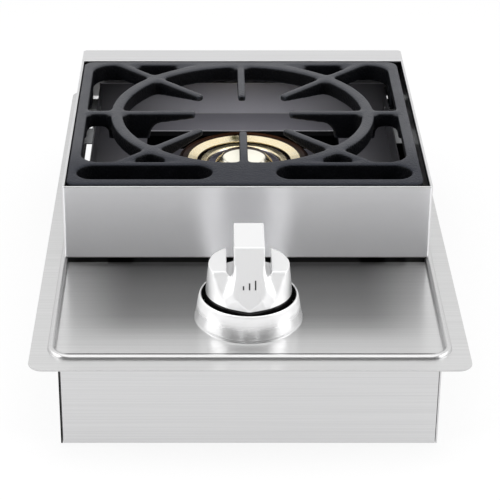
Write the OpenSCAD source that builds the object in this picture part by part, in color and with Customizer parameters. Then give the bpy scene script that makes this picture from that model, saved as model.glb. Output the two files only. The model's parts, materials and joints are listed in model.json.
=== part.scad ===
// Drop-in single side burner for an outdoor kitchen: a flanged pan, a raised box with a cast grate
// over one brass burner, and a gas tap with its knob on the front panel.
// The origin is under the middle of the lower body, +Z is up, and the knob is at the front (-Y).

/* [Pan] */
// Width of the flange
flange_w = 318; // [306:1:330]
// Depth of the flange, front to rear
flange_d = 508; // [500:1:530]
// Corner radius of the flange
flange_r = 11; // [6:1:13]
// Sheet thickness of the pan, raised box and liner
sheet = 1; // [0.8:0.1:1.2]
// Width of the pressed bead
bead_w = 6; // [5:0.5:7]
// Height of the bead over the flange
bead_h = 3; // [2:0.5:4]
// Flange's side edge to the bead's centre line
bead_side = 15.2; // [14:0.2:17]
// Flange's front and rear edges to the bead's centre line
bead_end = 16.7; // [15:0.1:18]
// Corner radius of the bead on its centre line
bead_r = 15; // [12:1:18]
// Drop of the panel inside the bead
panel_drop = 2; // [1:0.5:3]

/* [Lower body] */
// Height of the lower body under the panel
body_h = 72; // [68:1:90]
// Sheet thickness of the lower body
body_sheet = 1.2; // [1:0.1:1.5]
// Bead's inner foot to the lower body's side
body_inset = 2; // [1.5:0.1:4]
// Shadow gap between the front panel and the side panels
panel_gap = 0.4; // [0.2:0.1:0.6]
// Height of the air notch in each side panel
notch_h = 30; // [20:1:35]
// Length of the air notch in each side panel
notch_l = 130; // [100:2:140]

/* [Raised box] */
// Flange's front edge to the raised box
box_from_front = 166; // [160:1:176]
// Depth of the raised box
box_d = 285.5; // [280:0.5:300]
// Height of the raised box over the bead
box_h = 61.4; // [58:0.2:66]
// Width of the hem along the top edge
hem_h = 6; // [4:0.5:8]
// Depth of the flat ledge at the rear
ledge_d = 26; // [20:1:30]
// Height of the ledge's front lip
ledge_lip = 8; // [5:1:12]

/* [Grate] */
// Depth of the frame's bars
grate_h = 16; // [14:0.5:18]
// Width of the side bars
side_bar = 9; // [8:0.5:12]
// Width of the rear bar
rear_bar = 7; // [6:0.5:9]
// Width of the front bar, front to rear
front_bar = 41.8; // [38:0.2:46]
// Width of each slot in the front bar
slot_w = 26; // [20:1:28]
// Solid pad between the two slots
slot_pad = 50.6; // [40:0.2:60]
// Outer radius of the ring
ring_r = 110.7; // [104:0.1:112]
// Width of the ring
ring_w = 10; // [8:0.5:12]
// Depth of the ring and of the fingers at the ring
ring_h = 14; // [12:0.5:16]
// Width of the fingers
finger_w = 6.6; // [5.5:0.1:8]
// Ring centre to the tips of the diagonal fingers
diagonal_tip = 49; // [46:1:56]
// Ring centre to the tips of the side fingers
side_tip = 39.5; // [36:0.5:46]
// Ring centre to the tip of the rear finger
rear_tip = 34; // [32:1:46]
// Depth of a finger at its tip
tip_h = 5.5; // [4.5:0.5:7]
// Depth of the web under each side finger
web_h = 24; // [20:1:26]
// Sideways play of the grate in the box
grate_play = 4.2; // [3:0.1:5]

/* [Burner] */
// Outer radius of the burner head
head_r = 56; // [54:0.5:58]
// Height of the burner head over its seat
head_h = 18; // [16:0.5:20]
// Flame slots round the head
head_slots = 30; // [24:1:36]
// Radius of the burner cap at its top
cap_r = 18.3; // [17:0.1:20]
// Flame slots round the cap
cap_slots = 18; // [12:1:24]
// Outer radius of the burner bowl
bowl_r = 31; // [30:0.5:32]
// Wall of the burner bowl
bowl_wall = 3; // [2.5:0.1:3.5]
// Outer radius of the venturi tube
venturi_r = 11; // [10:0.5:11.5]

/* [Knob] */
// Flange's front edge to the knob's axis
knob_from_front = 81.5; // [76:0.5:84]
// Radius of the knob's skirt at its foot
skirt_r = 33; // [32:0.2:33.4]
// Radius of the knob's skirt at its top
skirt_top_r = 30; // [29:0.2:31]
// Height of the skirt
skirt_h = 30; // [28:0.5:32]
// Width of the grip
grip_w = 22.4; // [20:0.2:24]
// Height of the grip over the skirt's foot
grip_h = 49.6; // [45:0.2:52]
// Foot radius of the bezel
bezel_r = 40.7; // [40:0.1:42]
// Height of the bezel
bezel_h = 20; // [19:0.5:22]
// Width of the gap between the bezel's rim and the knob
bezel_gap = 2; // [1.6:0.1:2.4]
// Travel of the knob when it is pushed in
push_travel = 4; // [3:0.2:4]

/* [Gas tap] */
// Radius of the tap's stem
stem_r = 4; // [3.5:0.1:4.2]
// Radius of the tap's plug
plug_r = 8; // [7.5:0.1:8.5]
// Outer radius of the gas pipe
pipe_r = 4; // [3.5:0.1:4.5]
// Radius of the inlet's flare thread
inlet_r = 7.94; // [7.5:0.01:8.2]
// Wire diameter of the return spring
wire_d = 0.9; // [0.7:0.1:1]
// Turns of the return spring
spring_turns = 4; // [3:1:4]

/* [Hidden] */
$fn = 96;
run_gap = 0.05; // radial clearance of a shaft in its hole
lift_gap = 0.3; // clearance under a piece that lifts off
overlap = 0.3; // how far joined shapes of one piece run into each other

steel = [0.80, 0.80, 0.80];
dark_steel = [0.30, 0.31, 0.34];
iron = [0.22, 0.23, 0.26];
brass = [0.83, 0.66, 0.33];
chrome = [0.92, 0.92, 0.93];
zinc = [0.66, 0.67, 0.68];

// Levels
panel_top = body_h + sheet;
flange_top = panel_top + panel_drop;
crest = flange_top + bead_h;
box_top = crest + box_h;

// Bead and lower body
bead_x = flange_w / 2 - bead_side;
bead_y = flange_d / 2 - bead_end;
bead_half = bead_w / 2;
foot_x = bead_x - bead_half;
foot_y = bead_y - bead_half;
body_x = foot_x - body_inset;
body_y = foot_y - panel_gap;
lip = 10; // folded edges of the lower body
body_seat = 0.2; // side and end panels stand this far off the tray's folds
tray_h = 12;
rear_slot_z = 54;
tray_vent_w = 60;
tray_vent_d = 8;

// Raised box, between the crests of the side beads
box_x = bead_x;
box_front = box_from_front - flange_d / 2;
box_rear = box_front + box_d;
hem = 2 * sheet;
well_lip = 1; // panel left inside the bead beside the well
well_front_in = 26; // panel left inside the box at the front
well_rear_in = 16; // and at the rear
tab_x = 100;
tab_w = 20;
tab_l = 13; // length of a tab's foot
tab_back = [11, sheet]; // box wall to the leg of each front tab and each rear tab
tab_screw = 8; // a tab's leg to its screw
rear_vent_w = 40;
rear_vent_h = 14;
rear_vent_z = flange_top + bead_h + 3;

// Grate
grate_front_gap = 3.5;
grate_rear_gap = 1.3;
grate_side_gap = 0.5;
grate_x0 = -box_x + hem + grate_side_gap;
grate_x1 = box_x - hem - grate_side_gap - grate_play + grate_side_gap;
grate_mid = (grate_x0 + grate_x1) / 2;
grate_w = grate_x1 - grate_x0;
grate_y0 = box_front + hem + grate_front_gap;
grate_y1 = box_rear - ledge_d - grate_rear_gap;
grate_d = grate_y1 - grate_y0;
grate_r = 8;
ring_inset = 1.2;
ring_y = grate_y1 - ring_inset - ring_r;
slot_side = 7.5; // end of each slot to the grate's side
slot_front = 10; // front edge of the grate to the slots
arch_h = 8; // depth left over the arches
pad_floor = 5; // thickness of the pad over its hollow
web_start = 78; // ring centre to the web's edge
web_end = 2; // ring to the web's outer edge
arch_y = 52; // ring centre to the middle of each side arch
arch_l = 60; // length of a side arch
tip_l = 12; // length of the slope behind a finger's tip
bar_bite = 3; // how far a diagonal finger runs into the frame
foot_l = 22;
foot_w = 7;

// Liner
bracket_w = 14.8; // box side to the liner
liner_x = box_x - bracket_w;
liner_front = box_front + 30;
liner_rear = box_rear - 19.2;
liner_floor = flange_top + 9.4;
liner_side_h = 27;
liner_rear_h = 31;
mouth_x = 85;
mouth_d = 162;
mouth_lip = 4;
seat_h = 31.6; // top of the grate's brackets over the flange
seat_z = flange_top + seat_h;
bracket_l = 24;
bracket_fold = 12;
bracket_in = 28; // box wall to the middle of each bracket, front
bracket_rear_in = 47.5; // and rear
bracket_gap = 0.15;

// Burner
burner_y = ring_y;
bowl_z = 30;
bowl_top = 78;
shoulder_r = bowl_r + 5;
shoulder_z = 60;
head_seat = bowl_top;
head_top = head_seat + head_h;
plate_z = head_top - 4.5; // top of the head's inner plate
rim_in = 7.5; // head's outer rim, to the polished ring inside it
chamber_z = plate_z - 3; // ceiling of the gas chamber
boss_r = 10;
cap_h = 7.7; // height of the cap over the head's inner plate
cap_flare = 6.2; // how far the cap's foot stands out from its top
cap_wall = 2.5;
cap_room = 4; // height of the hollow under the cap
plate_hole_r = 15; // ring of gas holes under the cap
venturi_z = 44;
venturi_end = burner_y - bowl_r + bowl_wall;
throat_r = 8;
mouth_r = 14;
mouth_l = 16;
shutter_l = 14;
shutter_wall = 1.2;
shield_x = 84;
shield_d = 160;
shield_h = 8;

// Knob and tap
knob_y = knob_from_front - flange_d / 2;
venturi_start = 20.5; // knob's axis to the venturi's mouth
venturi_front = knob_y + venturi_start;
bezel_top = panel_top + bezel_h;
rim_r = skirt_r + bezel_gap;
rim_w = 2.3;
knob_z = panel_top + 15;
bezel_floor = panel_top + 7;
bezel_plate = 2;
stem_hole_r = 9;
bezel_screw_r = 22;
post_r = 4;
bracket_x = 34; // the tap bracket's screws
cover_z = 64; // underside of the tap's bracket
cover_t = 2;
tap_z = 28;
tap_r = 13;
port_z = 40;
plug_z = 34;
plug_top = 54;
tongue_w = 2.8;
tongue_l = 6;
tongue_in = 3.5; // depth of the stem's tongue in the plug at rest
bonnet_z = 57;
bonnet_top = 69;
collar_r = 7;
collar_h = 2;
collar_z = bezel_floor - collar_h;
clip_h = 0.8;
stem_top = 112;
spark_gap = 6.2; // burner head to the electrode's axis
spark_x = -(head_r + spark_gap) / sqrt(2);
spark_y = burner_y + spark_x;
spark_r = 3.5;
spark_z = 55;
spark_h = 35;

// Gas line
inlet_side = 38.8; // lower body's side to the gas inlet
pipe_x = body_x - inlet_side;
bend_r = 20;
pipe_wall = 1;
nut_r = 9;
inlet_z = port_z;
inlet_shank_r = 8.5;
inlet_nut_h = 5.5;
inlet_end = foot_y + 17.5;

// Spark module, on the tray
module_size = [36, 60, 28];
module_side = 18.8; // lower body's side to the module
module_start = 22.5; // knob's axis to the module
module_at = [module_side - body_x, knob_y + module_start, body_sheet];
plug_end = [18, module_size.y + 0.4, 18.8]; // spark wire's end on the module
plug_step = [-10, 0, 0]; // and from there to the switch wire's end

// Screws: shank radius, length, head radius and head height
box_screw = [2, 7, 3.6, 2.2];
bezel_screw = [1.5, 11, 2.8, 1.6];
bracket_screw = [2, 9, 3.2, 1.8];
tap_screw = [1.5, 8, 2.8, 1.8];
bowl_screw = [2, 4, 3.6, 2.2];
tray_screw = [2, 2 * body_sheet, 3.6, 2.2];
body_screw = [1.8, 5, 3.4, 1.6];
liner_screw = [1.5, 2 * sheet + bracket_gap + 0.3, 2.8, 1.6];
bowl_screw_x = 14;
tray_screw_x = 34;
tap_screw_x = 13;

// Shared shapes

module block(low, high) {
    translate(low) cube(high - low);
}

module rounded_rect(w, d, r) {
    x = w / 2 - r;
    y = d / 2 - r;
    square([w, 2 * y], center = true);
    square([2 * x, d], center = true);
    for (sx = [-1, 1], sy = [-1, 1]) translate([sx * x, sy * y]) circle(r);
}

module stadium(length, w) {
    square([length - w, w], center = true);
    for (s = [-1, 1]) translate([s * (length - w) / 2, 0]) circle(d = w);
}

module ring(outer, inner, h) {
    difference() {
        cylinder(r = outer, h = h);
        translate([0, 0, -1]) cylinder(r = inner, h = h + 2);
    }
}

// A screw that points down, with the underside of its head at the origin
module screw(size) {
    cylinder(r = size[2], h = size[3]);
    translate([0, 0, -size[1]]) cylinder(r = size[0], h = size[1] + overlap);
}

// The hole that a screw's shank passes, centred on the origin
module screw_hole(size, length) {
    translate([0, 0, -length / 2]) cylinder(r = size[0] + run_gap, h = length);
}

module hexagon(across, h) {
    cylinder(d = across / cos(30), h = h, $fn = 6);
}

// A loop with round corners, swept round a rectangle from a profile that points outwards
module loop(half_x, half_y, r) {
    for (turn = [0, 180]) rotate(turn) {
        translate([half_x, 0, 0]) rotate([90, 0, 0])
            linear_extrude(2 * (half_y - r), center = true) children();
        translate([0, half_y, 0]) rotate(90) rotate([90, 0, 0])
            linear_extrude(2 * (half_x - r), center = true) children();
    }
    for (corner = [[1, 1, 0], [-1, 1, 90], [-1, -1, 180], [1, -1, 270]])
        translate([corner.x * (half_x - r), corner.y * (half_y - r), 0]) rotate(corner.z)
            rotate_extrude(angle = 90) translate([r, 0]) children();
}

// A round tube along a route of points, as one closed surface
function unit(v) = v / norm(v);
function heading(route, i) = unit(route[min(i + 1, len(route) - 1)] - route[max(i - 1, 0)]);
function side(route, i, up) = unit(cross(heading(route, i), up));
function hoop(route, i, up, r, sides) = [for (k = [0:sides - 1])
    route[i] + r * cos(360 * k / sides) * side(route, i, up)
    + r * sin(360 * k / sides) * cross(side(route, i, up), heading(route, i))];
module tube(route, r, up, sides) {
    n = len(route);
    points = [for (i = [0:n - 1]) each hoop(route, i, up, r, sides)];
    walls = [for (i = [0:n - 2], k = [0:sides - 1])
        let (a = i * sides + k, b = i * sides + (k + 1) % sides)
        each [[a, b, b + sides], [a, b + sides, a + sides]]];
    start = [for (k = [1:sides - 2]) [0, k + 1, k]];
    end = [for (k = [1:sides - 2]) [(n - 1) * sides, (n - 1) * sides + k, (n - 1) * sides + k + 1]];
    polyhedron(points, concat(walls, start, end));
}
function curve(p, steps) = [for (i = [0:steps]) let (t = i / steps, u = 1 - t)
    u ^ 3 * p[0] + 3 * u ^ 2 * t * p[1] + 3 * u * t ^ 2 * p[2] + t ^ 3 * p[3]];

// Pan

module bead_profile() {
    inner = bead_half - sheet;
    polygon(concat(
        [[bead_half + 2 * overlap, -sheet], [bead_half + 2 * overlap, 0]],
        [for (a = [0:15:180]) [bead_half * cos(a), bead_h * sin(a)]],
        [[-bead_half, -panel_drop - sheet], [-inner, -panel_drop - sheet]],
        [for (a = [180:-15:0]) [inner * cos(a), (bead_h - sheet) * sin(a)]],
        [[inner, -sheet]]));
}

module tab_screw_places() {
    front = box_front + tab_back[0] + tab_screw;
    rear = box_rear - tab_back[1] - tab_screw;
    for (x = [-tab_x, tab_x], y = [front, rear]) translate([x, y, panel_top + sheet]) children();
}

module tab_holes() {
    tab_screw_places() screw_hole(box_screw, 2 * bead_h + 8 * sheet);
}

module bezel_screw_places() {
    for (a = [90, 210, 330]) translate([0, knob_y, 0]) rotate(a) translate([bezel_screw_r, 0, 0]) children();
}

module top_pan() {
    well_x = foot_x - well_lip;
    color(steel) difference() {
        union() {
            translate([0, 0, flange_top - sheet]) linear_extrude(sheet) difference() {
                rounded_rect(flange_w, flange_d, flange_r);
                rounded_rect(2 * (bead_x + bead_half + overlap), 2 * (bead_y + bead_half + overlap),
                    bead_r + bead_half + overlap);
            }
            translate([0, 0, flange_top]) loop(bead_x, bead_y, bead_r) bead_profile();
            translate([0, 0, body_h]) linear_extrude(sheet)
                rounded_rect(2 * (foot_x + overlap), 2 * (foot_y + overlap), bead_r - bead_half + overlap);
        }
        block([-well_x, box_front + well_front_in, 0],
            [well_x, box_rear - well_rear_in, flange_top + bead_h + 1]);
        translate([0, knob_y, 0]) cylinder(r = stem_hole_r, h = flange_top);
        bezel_screw_places() cylinder(r = 1.7, h = flange_top);
        for (s = [-1, 1]) translate([s * bracket_x, knob_y, body_h]) screw_hole(bracket_screw, 4 * sheet);
        tab_holes();
    }
}

// Raised box

module raised_box() {
    color(steel) difference() {
        union() {
            difference() {
                block([-box_x, box_front, crest], [box_x, box_rear, box_top]);
                block([-box_x + sheet, box_front + sheet, crest - 1],
                    [box_x - sheet, box_rear - sheet, box_top - hem_h]);
                block([-box_x + hem, box_front + hem, box_top - hem_h - 1],
                    [box_x - hem, box_rear - hem, box_top + 1]);
            }
            block([-box_x + sheet, box_rear - ledge_d, box_top - sheet],
                [box_x - sheet, box_rear - sheet, box_top]);
            block([-box_x + sheet, box_rear - ledge_d, box_top - ledge_lip],
                [box_x - sheet, box_rear - ledge_d + sheet, box_top]);
            for (x = [-tab_x, tab_x], end = [0, 1]) translate([x, end * (box_front + box_rear), 0])
                mirror([0, end, 0]) box_tab(tab_back[end]);
        }
        for (s = [-1, 1]) translate([s * (box_x - 3 - rear_vent_w / 2), box_rear, rear_vent_z])
            block([-rear_vent_w / 2, -5, 0], [rear_vent_w / 2, 5, rear_vent_h]);
        tab_holes();
    }
}

// A folded tab at the foot of the box's front wall: a shelf inwards, a leg and a foot on the panel
module box_tab(back) {
    leg = box_front + back;
    block([-tab_w / 2, box_front + sheet - overlap, crest], [tab_w / 2, leg + sheet, crest + sheet]);
    block([-tab_w / 2, leg, panel_top], [tab_w / 2, leg + sheet, crest + sheet]);
    block([-tab_w / 2, leg, panel_top], [tab_w / 2, leg + tab_l, panel_top + sheet]);
}

// Lower body

module side_panel() {
    notch_end = box_rear + 2;
    difference() {
        union() {
            block([body_x - body_sheet, -body_y, 0], [body_x, body_y, body_h]);
            block([body_x - lip, -body_y + lip + 2, body_h - body_sheet],
                [body_x, body_y - lip - 2, body_h]);
        }
        block([body_x - lip - 1, notch_end - notch_l, body_h - notch_h], [body_x + 1, notch_end, body_h + 1]);
        body_screw_places() screw_hole(body_screw, 3 * body_sheet);
    }
}

// Screws along one side of the lower body, pointing inwards from its outer face
module body_screw_places() {
    for (y = [-body_y + 34, -body_y / 3, body_y / 3, body_y - 34])
        translate([body_x, y, tray_h / 2 + 1]) rotate([0, 90, 0]) children();
}

module left_panel() {
    color(steel) mirror([1, 0, 0]) side_panel();
}

module right_panel() {
    color(steel) side_panel();
}

module end_panel() {
    x = body_x - body_sheet - panel_gap;
    block([-x, -body_y, 0], [x, -body_y + body_sheet, body_h]);
    block([-x, -body_y, body_h - body_sheet], [x, -body_y + lip, body_h]);
}

module front_panel() {
    color(steel) end_panel();
}

module rear_panel() {
    color(steel) difference() {
        mirror([0, 1, 0]) end_panel();
        translate([pipe_x, body_y + 1, inlet_z]) rotate([90, 0, 0])
            cylinder(r = inlet_shank_r + run_gap, h = body_sheet + 2);
        for (x = [-90, -45, 0, 45]) translate([x, body_y + 1, rear_slot_z]) rotate([90, 0, 0])
            linear_extrude(body_sheet + 2) stadium(32, 7);
    }
}

module base_tray() {
    x = body_x - body_sheet - body_seat;
    y = body_y - body_sheet - body_seat;
    color(steel) difference() {
        block([-x, -y, 0], [x, y, tray_h]);
        block([-x + body_sheet, -y + body_sheet, body_sheet], [x - body_sheet, y - body_sheet, tray_h + 1]);
        for (tx = [-70, 70], ty = [-200, 0, 160, 200]) translate([tx, ty, -1])
            linear_extrude(body_sheet + 2) stadium(tray_vent_w, tray_vent_d);
        for (s = [0, 1]) mirror([s, 0, 0]) body_screw_places() screw_hole(body_screw, 3 * body_screw[1]);
        for (s = [-1, 1]) translate([s * tray_screw_x, burner_y, 0]) screw_hole(tray_screw, 4 * body_sheet);
    }
}

// Liner and shield

module burner_liner() {
    mouth_y0 = burner_y - mouth_d / 2;
    mouth_y1 = burner_y + mouth_d / 2;
    side_top = liner_floor + liner_side_h;
    rear_top = liner_floor + liner_rear_h;
    color(dark_steel) difference() {
        union() {
            difference() {
                block([-liner_x, liner_front, liner_floor], [liner_x, liner_rear, side_top]);
                block([-liner_x + sheet, liner_front + sheet, liner_floor + sheet],
                    [liner_x - sheet, liner_rear - sheet, side_top + 1]);
            }
            block([-liner_x, liner_rear - sheet, liner_floor], [liner_x, liner_rear, rear_top]);
            block([-mouth_x - sheet, mouth_y0 - sheet, liner_floor - mouth_lip],
                [mouth_x + sheet, mouth_y1 + sheet, liner_floor + sheet]);
        }
        block([-mouth_x, mouth_y0, liner_floor - mouth_lip - 1], [mouth_x, mouth_y1, liner_floor + sheet + 1]);
        liner_screw_places() screw_hole(liner_screw, 8 * sheet);
    }
}

module bracket_places() {
    for (s = [0, 1], y = [box_front + bracket_in, box_rear - bracket_rear_in])
        mirror([s, 0, 0]) translate([0, y, 0]) children();
}

// Screws through each bracket's inner fold, pointing at the liner
module liner_screw_places() {
    bracket_places() for (y = [-7, 7])
        translate([liner_x + bracket_gap + sheet, y, seat_z - 7]) rotate([0, 90, 0]) children();
}

module liner_brackets() {
    inner = liner_x + bracket_gap;
    outer = box_x - sheet - bracket_gap;
    color(zinc) difference() {
        bracket_places() {
            block([inner, -bracket_l / 2, seat_z - sheet], [outer, bracket_l / 2, seat_z]);
            for (x = [inner, outer - sheet])
                block([x, -bracket_l / 2, seat_z - bracket_fold], [x + sheet, bracket_l / 2, seat_z]);
        }
        liner_screw_places() screw_hole(liner_screw, 8 * sheet);
    }
}

module heat_shield() {
    color(dark_steel) difference() {
        translate([0, burner_y, shoulder_z]) difference() {
            block([-shield_x, -shield_d / 2, 0], [shield_x, shield_d / 2, shield_h]);
            block([-shield_x + sheet, -shield_d / 2 + sheet, sheet],
                [shield_x - sheet, shield_d / 2 - sheet, shield_h + 1]);
        }
        translate([0, burner_y, shoulder_z - 1]) cylinder(r = bowl_r + run_gap, h = 4);
        translate([spark_x, spark_y, shoulder_z - 1]) cylinder(r = spark_r + 2, h = 4);
        translate([spark_x, spark_y - 4, shoulder_z - 1]) block([-4, -12, 0], [4, 0, 4]);
    }
}

// Grate

module finger(profile) {
    rotate([90, 0, 0]) linear_extrude(finger_w, center = true) polygon(profile);
}

module grate_plan() {
    inner_x = grate_w / 2 - side_bar;
    y0 = grate_y0 + front_bar;
    y1 = grate_y1 - rear_bar;
    difference() {
        translate([0, (grate_y0 + grate_y1) / 2]) rounded_rect(grate_w, grate_d, grate_r);
        translate([0, (y0 + y1) / 2]) rounded_rect(2 * inner_x, y1 - y0, 2 * grate_r);
        for (s = [-1, 1])
            translate([s * (slot_pad + grate_w - 2 * slot_side) / 4, grate_y0 + slot_front + slot_w / 2])
                stadium(grate_w / 2 - slot_side - slot_pad / 2, slot_w);
    }
}

module grate() {
    reach = grate_w / 2 - side_bar / 2;
    color(iron) translate([grate_mid, 0, box_top]) difference() {
        union() {
            translate([0, 0, -grate_h]) linear_extrude(grate_h) grate_plan();
            translate([0, ring_y, -ring_h]) ring(ring_r, ring_r - ring_w, ring_h);
            intersection() {
                translate([0, ring_y, 0]) for (a = [45:90:315]) let (end = diagonal_end(a)) rotate(a)
                    finger([[diagonal_tip, 0], [end, 0], [end, -ring_h], [ring_r - ring_w, -ring_h],
                        [diagonal_tip + tip_l, -tip_h - 2], [diagonal_tip, -tip_h]]);
                translate([0, (grate_y0 + grate_y1) / 2, -ring_h - 1])
                    linear_extrude(ring_h + 2) rounded_rect(grate_w, grate_d, grate_r);
            }
            translate([0, ring_y, 0]) for (a = [0, 180]) rotate(a) finger([[side_tip, 0], [reach, 0],
                [reach, -ring_h + 1], [ring_r + web_end, -ring_h + 1], [ring_r + web_end, -web_h],
                [web_start, -web_h],
                [web_start - 1, -ring_h - 2], [web_start - 6, -tip_h - 4.5], [side_tip, -tip_h]]);
            translate([0, ring_y, 0]) rotate(90) finger([[rear_tip, 0], [ring_r - 1, 0], [ring_r - 1, -ring_h],
                [ring_r - ring_w, -ring_h], [rear_tip + tip_l, -tip_h - 2], [rear_tip, -tip_h]]);
            translate([0, ring_y, 0]) rotate(270) finger([[side_tip, 0], [ring_r - 1, 0],
                [ring_r - 1, -ring_h], [ring_r - ring_w, -ring_h], [side_tip + tip_l, -tip_h - 2],
                [side_tip, -tip_h]]);
            grate_feet();
        }
        for (s = [-1, 1], part = [-1, 1])
            translate([s * (grate_w / 2 - side_bar / 2), ring_y + part * arch_y, -grate_h - 1])
                block([-side_bar, -arch_l / 2, 0], [side_bar, arch_l / 2, grate_h + 1 - arch_h]);
        translate([0, grate_y0 + slot_front, -grate_h - 1])
            block([-slot_pad / 2 + 5, 0, 0], [slot_pad / 2 - 5, slot_w, grate_h + 1 - pad_floor]);
    }
}

// How far a diagonal finger reaches from the ring's centre into the frame's rear or front bar
function diagonal_end(a) = sqrt(2) * (a < 180 ? grate_y1 - rear_bar + bar_bite - ring_y
    : ring_y - grate_y0 - front_bar + bar_bite);

// Feet that stand on the liner's brackets
module grate_feet() {
    top = -grate_h + overlap;
    bottom = seat_z + lift_gap - box_top;
    for (side = [-1, 1], y = [box_front + bracket_in, box_rear - bracket_rear_in])
        translate([side * (grate_w / 2 - 0.5 - foot_w / 2), y, bottom])
            translate([-foot_w / 2, -foot_l / 2, 0]) cube([foot_w, foot_l, top - bottom]);
}

// Burner

module burner_bowl() {
    inner = bowl_r - bowl_wall;
    color(zinc) difference() {
        translate([0, burner_y, 0]) {
            rotate_extrude() polygon([[0, bowl_z], [bowl_r - 3, bowl_z], [bowl_r, bowl_z + 4],
                [bowl_r, shoulder_z - 6], [shoulder_r, shoulder_z - 3], [shoulder_r, shoulder_z],
                [bowl_r, shoulder_z], [bowl_r, bowl_top], [inner, bowl_top], [inner, bowl_z + bowl_wall + 2],
                [0, bowl_z + bowl_wall + 2]]);
            translate([0, -bowl_r + 4, venturi_z]) rotate([90, 0, 0])
                ring(venturi_r + 2.5, venturi_r + run_gap, 12);
        }
        translate([0, burner_y, venturi_z]) rotate([90, 0, 0])
            cylinder(r = venturi_r + run_gap, h = bowl_r + 20);
        for (s = [-1, 1]) translate([s * bowl_screw_x, burner_y, bowl_z]) screw_hole(bowl_screw, 8);
    }
}

module burner_bracket() {
    w = 20;
    x = 40;
    top = bowl_z;
    color(zinc) translate([0, burner_y, 0]) difference() {
        union() {
            block([-28, -w / 2, top - body_sheet], [28, w / 2, top]);
            for (s = [0, 1]) mirror([s, 0, 0]) {
                block([28 - body_sheet, -w / 2, body_sheet], [28, w / 2, top]);
                block([28 - body_sheet, -w / 2, body_sheet], [x, w / 2, 2 * body_sheet]);
            }
        }
        for (s = [-1, 1]) {
            translate([s * bowl_screw_x, 0, top]) screw_hole(bowl_screw, 4 * body_sheet);
            translate([s * tray_screw_x, 0, body_sheet]) screw_hole(tray_screw, 4 * body_sheet);
        }
    }
}

// The head's section: gas chamber, seat in the bowl and outer wall up to the rim
function head_underside() = let (skirt = bowl_r - bowl_wall - 0.3, inner = skirt - 2.2) [
    [boss_r, chamber_z], [head_r - 3.5, chamber_z], [head_r - 3.5, chamber_z - 1.3],
    [bowl_r + 4, head_seat + 2.5], [inner, head_seat + 2.5], [inner, head_seat - 5], [skirt, head_seat - 5],
    [skirt, head_seat], [bowl_r + 4, head_seat], [head_r - 3, head_seat + 7], [head_r, head_seat + 9],
    [head_r, head_top - 1]];

// and from the rim inwards over the polished ring, the groove, the thin ring and the plate
function head_face(r) = [
    [head_r - 1, head_top], [head_r - 2, head_top], [head_r - 3, head_top - 1.2], [r + 1.2, head_top - 2],
    [r + 0.4, head_top - 1.2], [r - 0.6, head_top - 0.2], [r - 8.2, head_top - 2.4], [r - 8.6, head_top - 5],
    [r - 10.9, head_top - 5], [r - 11.2, head_top - 3.4], [r - 11.8, head_top - 2.9], [r - 16.2, head_top - 2.7],
    [r - 17.2, head_top - 3.2], [r - 18, plate_z], [boss_r, plate_z]];

module burner_head() {
    color(brass) translate([0, burner_y, 0]) difference() {
        rotate_extrude() polygon(concat(head_underside(), head_face(head_r - rim_in)));
        for (i = [0:head_slots - 1]) rotate(360 * i / head_slots)
            block([head_r - 5, -0.8, chamber_z - 0.9], [head_r + 1, 0.8, chamber_z + 2]);
        for (i = [0:11]) rotate(360 * i / 12)
            translate([plate_hole_r, 0, chamber_z - 1]) cylinder(r = 1.5, h = 6);
    }
}

module burner_cap() {
    foot = cap_r + cap_flare;
    color(brass) translate([0, burner_y, plate_z]) difference() {
        rotate_extrude() polygon([[0, -6], [boss_r - run_gap, -6], [boss_r - run_gap, cap_room],
            [foot - cap_wall - cap_room, cap_room], [foot - cap_wall, 0.1], [foot, 0.1], [foot, 1],
            [cap_r, cap_h - 0.6], [cap_r - 0.6, cap_h], [0, cap_h]]);
        for (i = [0:cap_slots - 1]) rotate(360 * i / cap_slots)
            block([foot - cap_wall - cap_room, -0.7, 1.2], [foot + 1, 0.7, cap_room - 0.4]);
    }
}

module venturi_tube() {
    length = venturi_end - venturi_front - 1;
    color(zinc) translate([0, venturi_front, venturi_z]) rotate([-90, 0, 0]) difference() {
        rotate_extrude() polygon([[mouth_r - 1.6, 0], [mouth_r, 0], [mouth_r, mouth_l],
            [throat_r + 2, mouth_l + 14], [throat_r + 2, mouth_l + 24], [venturi_r, mouth_l + 50], [venturi_r, length],
            [venturi_r - 2, length], [venturi_r - 2, mouth_l + 50], [throat_r, mouth_l + 24],
            [throat_r, mouth_l + 14], [mouth_r - 1.6, mouth_l]]);
        for (a = [0:90:270]) rotate(a + 45) block([0, -4, 3], [mouth_r + 2, 4, 11]);
    }
}

module air_shutter() {
    inner = mouth_r + run_gap;
    color(zinc) translate([0, venturi_front + 0.5, venturi_z]) rotate([-90, 0, 0]) difference() {
        ring(inner + shutter_wall, inner, shutter_l);
        for (a = [0:90:270]) rotate(a + 45) block([0, -4, 3], [mouth_r + 4, 4, 11]);
    }
}

// Gas tap

module gas_orifice() {
    y = knob_y + tap_r + 3 + lift_gap / 3;
    color(brass) translate([0, y, venturi_z]) rotate([-90, 0, 0]) difference() {
        union() {
            hexagon(11, 5);
            translate([0, 0, 4]) cylinder(r = 4, h = 7);
        }
        translate([0, 0, -1]) cylinder(r = 2.5, h = 10);
        cylinder(r = 0.6, h = 20, $fn = 24);
    }
}

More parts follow.
